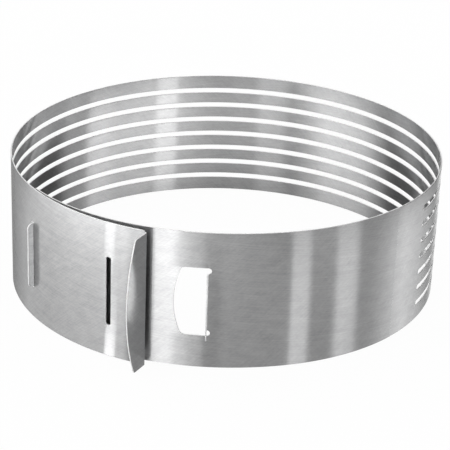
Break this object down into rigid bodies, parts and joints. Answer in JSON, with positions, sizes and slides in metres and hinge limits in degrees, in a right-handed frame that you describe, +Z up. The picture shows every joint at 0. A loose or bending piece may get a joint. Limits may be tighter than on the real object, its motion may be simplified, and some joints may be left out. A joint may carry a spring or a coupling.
{
  "type": "cake slicing ring",
  "caption": "Adjustable cake ring of one lapped steel strip with level knife slots, a hooked front with two settings, a grip flap and a squeeze tab.",
  "frame": {"origin": "on the table at the centre of the ring's footprint", "axes": "+Z up along the ring's height, -Y to the front with the overlap, +X to the right seen from the front"},
  "size_m": [0.2652, 0.281, 0.084],
  "materials": {
    "brushed_steel": "fine brushed stainless steel, satin, with bright punched edges"
  },
  "bodies": {
    "right_side": {"right_panel": "brushed_steel", "guide_bar_1_right": "brushed_steel", "guide_bar_2_right": "brushed_steel", "guide_bar_3_right": "brushed_steel", "guide_bar_4_right": "brushed_steel", "guide_bar_5_right": "brushed_steel", "guide_bar_6_right": "brushed_steel", "guide_bar_7_right": "brushed_steel", "guide_bar_8_right": "brushed_steel"},
    "inner_end": {"tongue": "brushed_steel", "locking_tab": "brushed_steel", "front_panel": "brushed_steel", "squeeze_tab": "brushed_steel"},
    "left_side": {"guide_bar_1_left": "brushed_steel", "guide_bar_2_left": "brushed_steel", "guide_bar_3_left": "brushed_steel", "guide_bar_4_left": "brushed_steel", "guide_bar_5_left": "brushed_steel", "guide_bar_6_left": "brushed_steel", "guide_bar_7_left": "brushed_steel", "guide_bar_8_left": "brushed_steel"},
    "wrap_root": {"left_panel": "brushed_steel"},
    "outer_end": {"outer_wrap": "brushed_steel", "grip_flap": "brushed_steel"}
  },
  "joints": [
    {"name": "resize", "type": "hinge", "parent": "right_side", "child": "left_side", "pos_m": [0.05276, 0.12971, 0.042], "axis": [0, 0, -1], "range_deg": [0, 8.83], "deforming": ["locking_tab"]},
    {"name": "resize_front", "type": "hinge", "parent": "right_side", "child": "inner_end", "pos_m": [0.08028, -0.09447, 0.042], "axis": [0, 0, 1], "range_deg": [0, 8.83]},
    {"name": "resize_wrap", "type": "hinge", "parent": "wrap_root", "child": "outer_end", "pos_m": [-0.12897, -0.02537, 0.042], "axis": [0, 0, -1], "range_deg": [0, 8.83]},
    {"name": "wrap_lift", "type": "hinge", "parent": "left_side", "child": "wrap_root", "pos_m": [-0.13179, -0.00673, 0.042], "axis": [0, 0, -1], "range_deg": [0, 10], "stiffness_Nm_per_rad": 7, "deforming": ["locking_tab"]}
  ],
  "couplings": [
    {"joint": "resize_front", "follows": "resize", "ratio": 1},
    {"joint": "resize_wrap", "follows": "resize", "ratio": 1}
  ]
}
